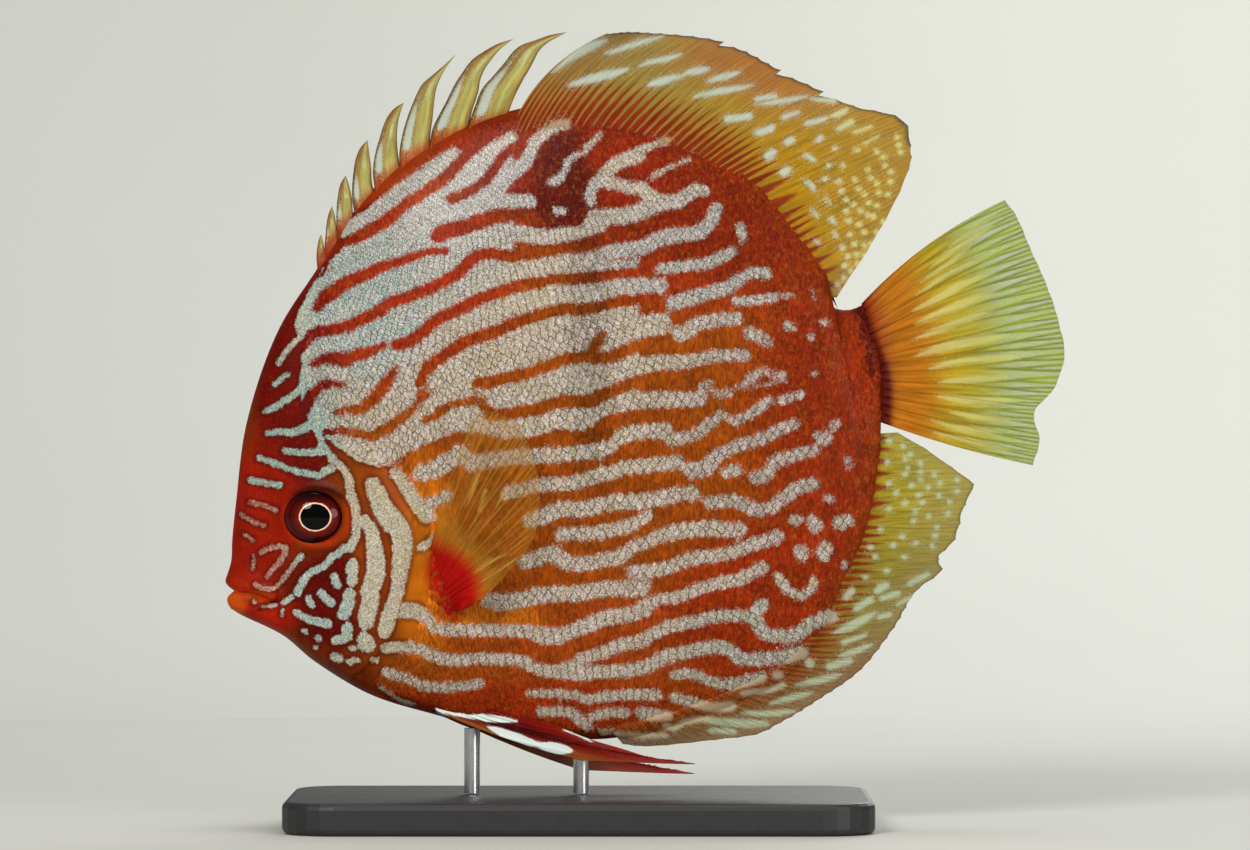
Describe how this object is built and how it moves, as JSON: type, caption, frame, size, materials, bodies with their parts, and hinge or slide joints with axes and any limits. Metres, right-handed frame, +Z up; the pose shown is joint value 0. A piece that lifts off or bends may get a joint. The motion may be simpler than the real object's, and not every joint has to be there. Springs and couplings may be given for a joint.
{
  "type": "discus fish",
  "caption": "Life-size still model of a striped red discus fish, nose slightly down, held over a flat base by short rods.",
  "frame": {"origin": "centre of the underside of the stand's base", "axes": "+X from the snout towards the tail, +Y to the fish's right side, +Z up"},
  "size_m": [0.1581, 0.062, 0.1498],
  "materials": {
    "skin_head": "glossy wet skin, red with pale blue marks",
    "skin_body": "glossy scales, silvery blue stripes on brick red and orange",
    "fin": "thin translucent golden olive membrane over fin rays",
    "fin_pelvic": "dark red membrane with white front rays",
    "eye": "glossy eye, dark red iris with a pale ring round a black pupil",
    "stand_base": "satin black paint",
    "stand_rod": "brushed"
  },
  "bodies": {
    "root": {"head": "skin_head", "upper_lip": "skin_head", "lower_lip": "skin_head", "gill_cover_left": "skin_head", "gill_cover_right": "skin_head", "eye_left": "eye", "eye_right": "eye", "trunk": "skin_body", "tail_stalk": "skin_body", "dorsal_fin": "fin", "anal_fin": "fin", "caudal_fin": "fin", "pectoral_fin_left": "fin", "pectoral_fin_right": "fin", "pelvic_fin_left": "fin_pelvic", "pelvic_fin_right": "fin_pelvic", "stand_base": "stand_base", "stand_rod_front": "stand_rod", "stand_rod_back": "stand_rod"}
  },
  "joints": []
}
